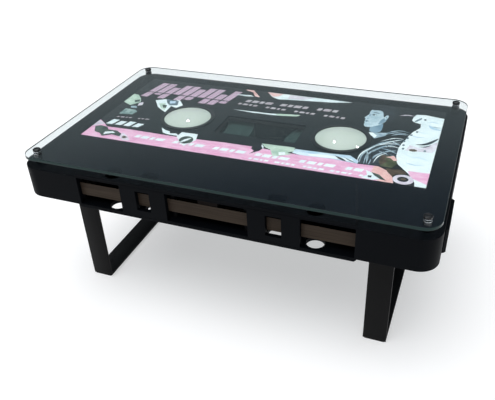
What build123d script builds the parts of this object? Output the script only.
"""Coffee table in the form of a giant compact cassette, about eleven times life size.

Millimetres. Origin on the floor under the middle of the body, +X along the long side to the right,
+Y to the rear (the open, tape side of the cassette faces -Y), +Z up.
"""
import math
import os

from build123d import *

# ---- body shell ----
body_length = 1100.0
body_depth = 688.0
corner_radius = 50.0
sheet = 3.5
wall = 12.0
wall_height = 80.5
panel_round = 1.5
corner_block_size = 62.0

# ---- legs ----
pad_thickness = 2.0
pad_length = 30.0
pad_margin = 5.0
leg_height = 320.5
leg_bar_width = 61.0
leg_bar = 8.0
leg_round = 1.5
leg_end_inset = 100.0
leg_side_inset = 82.0
batten_gap = 1.5
leg_bolt_radius = 3.0
leg_bolt_head_radius = 5.25
leg_bolt_head_height = 3.3
leg_bolt_socket_radius = 2.0
leg_bolt_socket_depth = 2.0
leg_bolt_margin = 2.0
leg_bolts_per_leg = 4
leg_bolt_end_margin = 50.0
bolt_hole_clearance = 0.3
thread_clearance = 0.05

# ---- trapezoid boards along the front edge, above and below ----
ridge_proud = 7.5
ridge_depth = 176.0
ridge_taper = 40.0
ridge_bevel = 6.5
ridge_leg_gap = 16.0
locating_hole_radius = 22.5
locating_hole_x = 269.0
locating_hole_inset = 30.0
locating_slot_length = 46.0
locating_slot_width = 34.0
locating_slot_corner = 10.0
locating_slot_x = 170.0
locating_slot_inset = 41.5

# ---- openings in the front face ----
cheek_land = 5.0
block_outer = 239.0
block_inner = 109.0
small_window_outer = 194.0
small_window_inner = 154.0
small_window_sill = 15.0
small_window_head = 8.5

# ---- reels and tape ----
hub_spacing = 470.0
hub_y = 46.5
hub_radius = 70.0
hub_edge = 2.0
hub_rise = 8.0
hub_ring_gap = 0.5
hub_ring_radius = 82.0
hub_ring_height = 3.5
hub_ring_round = 1.0
core_radius = 120.0
core_post_radius = 60.0
core_flange_radius = 150.0
core_gap = 2.0
full_pack_radius = 200.0
small_pack_radius = 162.0
tape_height = 37.0
tape_thickness = 1.2
tape_clearance = 0.3
tape_setback = 14.0
guide_radius = 10.0
guide_land = 9.0
felt_length = 52.0
felt_depth = 10.0
felt_panel_gap = 5.25
strip_thickness = 1.5
strip_height = 34.0
strip_clearance = 0.2
peg_x = 98.0
peg_radius = 7.0

# ---- window ----
window_length = 243.0
window_depth = 111.0
window_y = 41.5
window_corner = 6.0
window_bevel = 4.0
window_frame_margin = 14.0
window_frame_depth = 8.0
window_pane_thickness = 3.0
window_pane_margin = 4.0

# ---- printed label ----
label_thickness = 0.4
label_end_margin = 60.0
label_rear_margin = 47.0
label_front_margin = 201.0
label_corner = 8.0
label_gap = 1.0

# ---- glass and standoffs ----
glass_thickness = 8.0
glass_inset_end = 5.0
glass_inset_side = 2.5
glass_corner = 42.0
glass_arris = 0.8
standoff_radius = 10.5
standoff_inset_x = 38.0
standoff_inset_y = 40.0
barrel_height = 20.1
barrel_chamfer = 0.6
washer_thickness = 2.5
washer_radius = 10.0
cap_height = 5.5
cap_round = 1.2
stud_radius = 4.0
stud_grip = 30.0
stud_cap_reach = 4.0
stud_clearance = 0.1
glass_hole_clearance = 2.0

# ---- block on the right-hand end ----
side_block_length = 132.0
side_block_height = 64.0
side_block_thickness = 8.0
side_block_bevel = 6.0
side_block_front_inset = 69.0
side_block_lift = 9.0

# ---- screws in the underside ----
screw_radius = 2.0
screw_head_radius = 3.9
screw_head_height = 2.2
screw_length = 20.0
screws_along_rear = 3
screws_along_end = 2
cross_slot_length = 4.4
cross_slot_width = 1.0
cross_slot_depth = 1.2

# ---- modelling allowances ----
edge_band = 0.1
cutter_spare = 1.0

# ---- levels ----
leg_base = pad_thickness
body_base = leg_base + leg_height
inside_base = body_base + sheet
inside_top = inside_base + wall_height
body_top = inside_top + sheet
tape_middle = inside_base + wall_height / 2
tape_base = tape_middle - tape_height / 2
tape_top = tape_middle + tape_height / 2
batten_top = tape_base - batten_gap
pane_top = inside_top - window_frame_depth
pane_base = pane_top - window_pane_thickness
glass_base = body_top + barrel_height + washer_thickness
glass_top_level = glass_base + glass_thickness
cap_base = glass_top_level + washer_thickness

# ---- places in plan ----
half_length = body_length / 2
half_depth = body_depth / 2
front = -half_depth
leg_outer = half_length - leg_end_inset
leg_inner = leg_outer - leg_bar_width
leg_centre = leg_outer - leg_bar_width / 2
leg_reach = half_depth - leg_side_inset
ridge_half = leg_inner - ridge_leg_gap
opening_end = ridge_half - cheek_land
hub_x = hub_spacing / 2
tape_face = front + tape_setback
guide_x = opening_end + guide_land
tape_back = tape_face + tape_thickness
guide_y = tape_back + tape_clearance + guide_radius
standoff_x = half_length - standoff_inset_x
standoff_y = half_depth - standoff_inset_y
wall_end_x = half_length - corner_block_size
wall_end_y = half_depth - corner_block_size
sides = {"left": -1, "right": 1}
ends = {"front": -1, "rear": 1}
pack_radius = {"left": full_pack_radius, "right": small_pack_radius}

parts = {}


def slab(outline, bottom, top):
    """Straight-sided solid over a flat outline between two heights."""
    return extrude(Plane.XY.offset(bottom) * outline, amount=top - bottom)


def block(x0, x1, y0, y1, z0, z1):
    """Box between two corners, given in any order."""
    centre = Pos((x0 + x1) / 2, (y0 + y1) / 2, (z0 + z1) / 2)
    return centre * Box(abs(x1 - x0), abs(y1 - y0), abs(z1 - z0))


def rod(x, y, radius, bottom, top):
    """Upright cylinder at a place in plan."""
    return Pos(x, y, (bottom + top) / 2) * Cylinder(radius, top - bottom)


def edges_at(solid, level):
    """Edges that lie wholly at one height."""
    return solid.edges().filter_by_position(Axis.Z, level - edge_band, level + edge_band)


def merge(solids):
    """Several separate solids as one compound."""
    return Compound(children=list(solids))


def body_outline():
    return RectangleRounded(body_length, body_depth, corner_radius)


def ridge_outline():
    """Trapezoid on the front edge, widest at the front."""
    rear = front + ridge_depth
    rear_half = ridge_half - ridge_taper
    corners = [(-ridge_half, front), (ridge_half, front), (rear_half, rear), (-rear_half, rear)]
    return Polygon(*corners, align=None)


def locating_cutter(bottom, top):
    """Two round holes and two slots, through a panel and the board on it."""
    cutter = None
    for side in sides.values():
        hole = rod(side * locating_hole_x, front + locating_hole_inset, locating_hole_radius, bottom, top)
        slot_place = Pos(side * locating_slot_x, front + locating_slot_inset)
        slot_shape = RectangleRounded(locating_slot_length, locating_slot_width, locating_slot_corner)
        slot = slab(slot_place * slot_shape, bottom, top)
        cutter = hole + slot if cutter is None else cutter + hole + slot
    return cutter


def standoff_places():
    return [(sx * standoff_x, sy * standoff_y) for sx in sides.values() for sy in ends.values()]


def leg_bolt_places():
    """Bolts in one row along the top bar of each leg."""
    span = 2 * (leg_reach - leg_bolt_end_margin)
    pitch = span / (leg_bolts_per_leg - 1)
    rows = [-span / 2 + pitch * i for i in range(leg_bolts_per_leg)]
    return [(side * leg_centre, y) for side in sides.values() for y in rows]


def screw_places():
    """Screws through the bottom panel into the walls and the corner blocks."""
    edge_x = half_length - wall / 2
    edge_y = half_depth - wall / 2
    corner_in = corner_block_size / 2
    places = [(sx * (half_length - corner_in), sy * (half_depth - corner_in))
              for sx in sides.values() for sy in ends.values()]
    rear_pitch = 2 * wall_end_x / (screws_along_rear + 1)
    places += [(-wall_end_x + rear_pitch * (i + 1), edge_y) for i in range(screws_along_rear)]
    end_pitch = 2 * wall_end_y / (screws_along_end + 1)
    for side in sides.values():
        places += [(side * edge_x, -wall_end_y + end_pitch * (i + 1)) for i in range(screws_along_end)]
        places.append((side * (wall_end_x + opening_end) / 2, -edge_y))
    return places


def drill(solid, places, radius, bottom, top):
    """Round holes of one size through a solid."""
    for x, y in places:
        solid -= rod(x, y, radius, bottom, top)
    return solid


def window_outline(margin):
    """The window's rounded rectangle, grown by a margin all round."""
    outline = RectangleRounded(window_length + 2 * margin, window_depth + 2 * margin, window_corner)
    return Pos(0, window_y) * outline


# ---- panels ----
def countersink(x, y):
    """Straight hole and cone for one screw, seen from below."""
    hole = rod(x, y, screw_radius + thread_clearance, body_base, inside_base)
    middle = body_base + screw_head_height / 2
    cone = Cone(screw_head_radius, screw_radius, screw_head_height)
    return hole + Pos(x, y, middle) * cone


def make_bottom_panel():
    panel = slab(body_outline(), body_base, inside_base)
    low_edge = edges_at(panel, body_base)
    panel = fillet(low_edge, panel_round)
    panel -= locating_cutter(body_base, inside_base)
    panel = drill(panel, leg_bolt_places(), leg_bolt_radius + bolt_hole_clearance, body_base, inside_base)
    for x, y in screw_places():
        panel -= countersink(x, y)
    return panel


def make_top_panel():
    panel = slab(body_outline(), inside_top, body_top)
    high_edge = edges_at(panel, body_top)
    panel = fillet(high_edge, panel_round)
    panel -= locating_cutter(inside_top, body_top)
    panel -= slab(window_outline(0), inside_top, body_top)
    return drill(panel, standoff_places(), stud_radius + stud_clearance, inside_top, body_top)


def make_ridge(inner, outer):
    """Board on a panel, bevelled on its two slanted sides and its rear; outer is its far face."""
    board = slab(ridge_outline(), min(inner, outer), max(inner, outer))
    sloped = [edge for edge in edges_at(board, outer) if edge.center().Y > front + edge_band]
    board = chamfer(sloped, ridge_bevel)
    front_edge = [edge for edge in edges_at(board, outer) if edge.center().Y < front + edge_band]
    board = fillet(front_edge, panel_round)
    return board - locating_cutter(min(inner, outer), max(inner, outer))


parts["bottom_panel"] = make_bottom_panel()
parts["top_panel"] = make_top_panel()
parts["lower_ridge"] = make_ridge(body_base, body_base - ridge_proud)
parts["upper_ridge"] = make_ridge(body_top, body_top + ridge_proud)


# ---- walls and corner blocks ----
def screw_holes_above(solid):
    """Blind pilot holes for the bottom panel's screws."""
    depth = screw_length - sheet
    return drill(solid, screw_places(), screw_radius + thread_clearance, inside_base, inside_base + depth)


def make_corner_block(side, end):
    """Solid corner post with the body's rounded corner outside."""
    square = block(side * half_length, side * wall_end_x, end * half_depth, end * wall_end_y,
                   inside_base, inside_top)
    post = square & slab(body_outline(), inside_base, inside_top)
    grip_base = inside_top - (stud_grip - sheet)
    post = drill(post, [(side * standoff_x, end * standoff_y)], stud_radius + stud_clearance,
                 grip_base, inside_top)
    return screw_holes_above(post)


def make_window_block(side):
    """Front block with the small square opening, between the outer and the middle openings."""
    solid = block(side * block_outer, side * block_inner, front, front + wall, inside_base, inside_top)
    return solid - block(side * small_window_outer, side * small_window_inner, front, front + wall,
                         inside_base + small_window_sill, inside_top - small_window_head)


for end_name, end in ends.items():
    for side_name, side in sides.items():
        parts[f"corner_block_{end_name}_{side_name}"] = make_corner_block(side, end)

parts["rear_wall"] = screw_holes_above(
    block(-wall_end_x, wall_end_x, half_depth - wall, half_depth, inside_base, inside_top))
for side_name, side in sides.items():
    end_wall = block(side * half_length, side * (half_length - wall), -wall_end_y, wall_end_y,
                     inside_base, inside_top)
    cheek = block(side * wall_end_x, side * opening_end, front, front + wall, inside_base, inside_top)
    parts[f"{side_name}_wall"] = screw_holes_above(end_wall)
    parts[f"front_cheek_{side_name}"] = screw_holes_above(cheek)
    parts[f"window_block_{side_name}"] = make_window_block(side)


# ---- legs ----
def make_leg(side):
    """Flat bar bent and welded into a closed upright loop."""
    outer = block(side * leg_inner, side * leg_outer, -leg_reach, leg_reach, leg_base, body_base)
    outer = fillet(outer.edges().filter_by(Axis.X), leg_round)
    inner = block(side * leg_inner, side * leg_outer, -leg_reach + leg_bar, leg_reach - leg_bar,
                  leg_base + leg_bar, body_base - leg_bar)
    return drill(outer - inner, leg_bolt_places(), leg_bolt_radius + bolt_hole_clearance,
                 body_base - leg_bar, body_base)


def make_batten(side):
    """Rail inside the body that takes the leg bolts."""
    rail = block(side * leg_inner, side * leg_outer, -leg_reach, leg_reach, inside_base, batten_top)
    return drill(rail, leg_bolt_places(), leg_bolt_radius + thread_clearance,
                 inside_base, batten_top - leg_bolt_margin)


def make_leg_bolt(x, y):
    """Low round-headed bolt, pointing up."""
    seat = body_base - leg_bar
    head = rod(x, y, leg_bolt_head_radius, seat - leg_bolt_head_height, seat)
    head = fillet(head.edges().sort_by(Axis.Z)[0], leg_bolt_head_height / 2)
    shank = rod(x, y, leg_bolt_radius, seat, batten_top - leg_bolt_margin)
    socket = RegularPolygon(leg_bolt_socket_radius, 6)
    low = seat - leg_bolt_head_height
    return head + shank - slab(Pos(x, y) * socket, low, low + leg_bolt_socket_depth)


def make_foot_pad(side, end):
    """Felt strip under one end of a floor bar."""
    y_outer = end * (leg_reach - leg_round)
    y_inner = end * (leg_reach - leg_round - pad_length)
    return block(side * (leg_inner + pad_margin), side * (leg_outer - pad_margin), y_outer, y_inner,
                 0, pad_thickness)


for side_name, side in sides.items():
    parts[f"leg_{side_name}"] = make_leg(side)
    parts[f"leg_batten_{side_name}"] = make_batten(side)
parts["leg_bolts"] = merge(make_leg_bolt(x, y) for x, y in leg_bolt_places())
parts["foot_pads"] = merge(make_foot_pad(sx, sy) for sx in sides.values() for sy in ends.values())


# ---- screws ----
def make_screw(x, y):
    """Countersunk cross-head screw, pointing up, its head flush with the underside."""
    middle = body_base + screw_head_height / 2
    head = Pos(x, y, middle) * Cone(screw_head_radius, screw_radius, screw_head_height)
    shank = rod(x, y, screw_radius, body_base, body_base + screw_length)
    slot_top = body_base + cross_slot_depth
    half_slot = cross_slot_length / 2
    half_width = cross_slot_width / 2
    across = block(x - half_slot, x + half_slot, y - half_width, y + half_width, body_base, slot_top)
    along = block(x - half_width, x + half_width, y - half_slot, y + half_slot, body_base, slot_top)
    return head + shank - across - along


parts["bottom_screws"] = merge(make_screw(x, y) for x, y in screw_places())


# ---- reels ----
def make_core(side):
    """Flanged drum that the tape is wound on; its middle post props the top panel."""
    x = side * hub_x
    drum = rod(x, hub_y, core_flange_radius, inside_base, tape_base)
    drum += rod(x, hub_y, core_radius, inside_base, tape_top)
    drum += rod(x, hub_y, core_post_radius, inside_base, inside_top)
    for rail_side in sides.values():
        drum -= block(rail_side * (leg_inner - core_gap), rail_side * (leg_outer + core_gap),
                      -leg_reach - core_gap, leg_reach + core_gap, inside_base, batten_top + batten_gap)
    frame_zone = window_outline(window_frame_margin + core_gap)
    return drum - slab(frame_zone, pane_base - core_gap, inside_top)


def make_pack(side, radius):
    """Ring of wound tape."""
    x = side * hub_x
    return rod(x, hub_y, radius, tape_base, tape_top) - rod(x, hub_y, core_radius, tape_base, tape_top)


def make_hub_disc(side):
    """Opal disc with a low dome."""
    x = side * hub_x
    edge_top = body_top + label_thickness + hub_edge
    sphere_radius = (hub_radius ** 2 + hub_rise ** 2) / (2 * hub_rise)
    ball = Pos(x, hub_y, edge_top + hub_rise - sphere_radius) * Sphere(sphere_radius)
    cap = ball & rod(x, hub_y, hub_radius, edge_top, edge_top + hub_rise + cutter_spare)
    return rod(x, hub_y, hub_radius, body_top + label_thickness, edge_top) + cap


def make_hub_ring(side):
    """Black trim ring round the disc, on the label."""
    x = side * hub_x
    base = body_top + label_thickness
    ring = rod(x, hub_y, hub_ring_radius, base, base + hub_ring_height)
    ring -= rod(x, hub_y, hub_radius + hub_ring_gap, base, base + hub_ring_height)
    return fillet(edges_at(ring, base + hub_ring_height), hub_ring_round)


for side_name, side in sides.items():
    parts[f"reel_core_{side_name}"] = make_core(side)
    parts[f"tape_pack_{side_name}"] = make_pack(side, pack_radius[side_name])
    parts[f"hub_disc_{side_name}"] = make_hub_disc(side)
    parts[f"hub_ring_{side_name}"] = make_hub_ring(side)
    parts[f"guide_post_{side_name}"] = rod(side * guide_x, guide_y, guide_radius, inside_base, inside_top)


# ---- tape along the front ----
def outer_tangent(first, first_radius, second, second_radius, turn):
    """Unit normal shared by two circles' common outer tangent; turn picks its side."""
    along = Vector(*second) - Vector(*first)
    distance = along.length
    unit = along / distance
    across = Vector(-unit.Y, unit.X) * turn
    lean = (first_radius - second_radius) / distance
    return unit * lean + across * math.sqrt(1 - lean ** 2)


def tape_route(extra):
    """Edges of one face of the tape, from the left pack round both posts to the right pack."""
    pack_gap = tape_clearance + extra
    route = []
    points = {}
    for side_name, side in sides.items():
        pack = (side * hub_x, hub_y)
        post = (side * guide_x, guide_y)
        radius = pack_radius[side_name] + pack_gap
        post_radius = guide_radius + pack_gap
        normal = outer_tangent(pack, radius, post, post_radius, side)
        middle_turn = (normal + Vector(0, -1)).normalized()
        points[side_name] = {
            "start": Vector(*pack) + normal * radius,
            "meet": Vector(*post) + normal * post_radius,
            "bend": Vector(*post) + middle_turn * post_radius,
            "front": Vector(*post) + Vector(0, -1) * post_radius,
        }
    left = points["left"]
    right = points["right"]
    route.append(Line(left["start"], left["meet"]))
    route.append(ThreePointArc(left["meet"], left["bend"], left["front"]))
    route.append(Line(left["front"], right["front"]))
    route.append(ThreePointArc(right["front"], right["bend"], right["meet"]))
    route.append(Line(right["meet"], right["start"]))
    return route, left["start"], right["start"]


def make_tape_run():
    inner, inner_left, inner_right = tape_route(0)
    outer, outer_left, outer_right = tape_route(tape_thickness)
    loop = inner + [Line(inner_right, outer_right)] + outer + [Line(outer_left, inner_left)]
    return slab(make_face(loop), tape_base, tape_top)


def make_pressure_pad():
    """Felt block behind the tape in the middle opening."""
    half = felt_length / 2
    return block(-half, half, tape_back, tape_back + felt_depth,
                 tape_base, inside_top - felt_panel_gap)


def strip_seat(side):
    """Middle of the peg that holds one end of the strip."""
    return side * peg_x, tape_back + felt_depth + strip_thickness / 2


def make_pad_strip():
    """Springy strip behind the felt, its ends slotted into two pegs."""
    y = tape_back + felt_depth
    return block(-peg_x, peg_x, y, y + strip_thickness,
                 tape_middle - strip_height / 2, tape_middle + strip_height / 2)


def make_strip_peg(side):
    """Upright peg with a slot for the strip's end, open towards the middle and upwards."""
    x, y = strip_seat(side)
    peg = rod(x, y, peg_radius, inside_base, inside_top)
    half_slot = strip_thickness / 2 + strip_clearance
    slot_end = x - side * (peg_radius + cutter_spare)
    return peg - block(x + side * strip_clearance, slot_end, y - half_slot, y + half_slot,
                       tape_middle - strip_height / 2, inside_top)


parts["tape_run"] = make_tape_run()
parts["pressure_pad"] = make_pressure_pad()
parts["pad_strip"] = make_pad_strip()
for side_name, side in sides.items():
    parts[f"strip_peg_{side_name}"] = make_strip_peg(side)


# ---- window ----
def make_window_frame():
    """Black surround under the top panel, sloping in to the pane."""
    frame_body = slab(window_outline(window_frame_margin), pane_top, inside_top)
    upper = Plane.XY.offset(inside_top) * window_outline(0)
    lower = Plane.XY.offset(pane_top) * window_outline(-window_bevel)
    return frame_body - loft([lower, upper])


parts["window_frame"] = make_window_frame()
parts["window_pane"] = slab(window_outline(window_frame_margin - window_pane_margin), pane_base, pane_top)


# ---- label ----
def make_label():
    """Printed sheet on the top panel, clear of the window."""
    y0 = front + label_front_margin
    y1 = half_depth - label_rear_margin
    length = body_length - 2 * label_end_margin
    outline = Pos(0, (y0 + y1) / 2) * RectangleRounded(length, y1 - y0, label_corner)
    sheet_solid = slab(outline, body_top, body_top + label_thickness)
    return sheet_solid - slab(window_outline(label_gap), body_top, body_top + label_thickness)


parts["label_sheet"] = make_label()


# ---- glass and standoffs ----
def make_glass():
    length = body_length - 2 * glass_inset_end
    depth = body_depth - 2 * glass_inset_side
    pane = slab(RectangleRounded(length, depth, glass_corner), glass_base, glass_top_level)
    pane = chamfer(edges_at(pane, glass_base) + edges_at(pane, glass_top_level), glass_arris)
    return drill(pane, standoff_places(), stud_radius + glass_hole_clearance, glass_base, glass_top_level)


def make_barrel(x, y):
    top = body_top + barrel_height
    tube = rod(x, y, standoff_radius, body_top, top)
    tube = chamfer(edges_at(tube, body_top) + edges_at(tube, top), barrel_chamfer)
    return drill(tube, [(x, y)], stud_radius + stud_clearance, body_top, top)


def make_cap(x, y):
    cap = rod(x, y, standoff_radius, cap_base, cap_base + cap_height)
    cap = fillet(edges_at(cap, cap_base + cap_height), cap_round)
    return drill(cap, [(x, y)], stud_radius + stud_clearance, cap_base, cap_base + stud_cap_reach)


def make_washers(x, y):
    """One washer under the glass and one on it."""
    rings = []
    for base in (body_top + barrel_height, glass_top_level):
        ring = rod(x, y, washer_radius, base, base + washer_thickness)
        rings.append(drill(ring, [(x, y)], stud_radius + stud_clearance, base, base + washer_thickness))
    return rings


def make_stud(x, y):
    """Threaded rod from the corner block up into the cap."""
    return rod(x, y, stud_radius, body_top - stud_grip, cap_base + stud_cap_reach)


parts["glass_top"] = make_glass()
parts["standoff_barrels"] = merge(make_barrel(x, y) for x, y in standoff_places())
parts["standoff_caps"] = merge(make_cap(x, y) for x, y in standoff_places())
parts["standoff_washers"] = merge(ring for x, y in standoff_places() for ring in make_washers(x, y))
parts["standoff_studs"] = merge(make_stud(x, y) for x, y in standoff_places())


# ---- block on the right-hand end ----
def make_side_block():
    """Low block on the end wall, bevelled at its two upright ends."""
    y0 = front + side_block_front_inset
    y1 = y0 + side_block_length
    z0 = inside_base + side_block_lift
    solid = block(half_length, half_length + side_block_thickness, y0, y1, z0, z0 + side_block_height)
    upright = solid.edges().filter_by(Axis.Z)
    outer = [edge for edge in upright if edge.center().X > half_length + edge_band]
    return chamfer(outer, side_block_bevel)


parts["side_block"] = make_side_block()

# ---- export ----
os.makedirs("parts", exist_ok=True)
for name, solid in parts.items():
    solid.label = name
    export_step(solid, f"parts/{name}.step")
    print(f"{name:28s} volume {solid.volume / 1000:10.1f} cm3")
print(len(parts), "nodes")
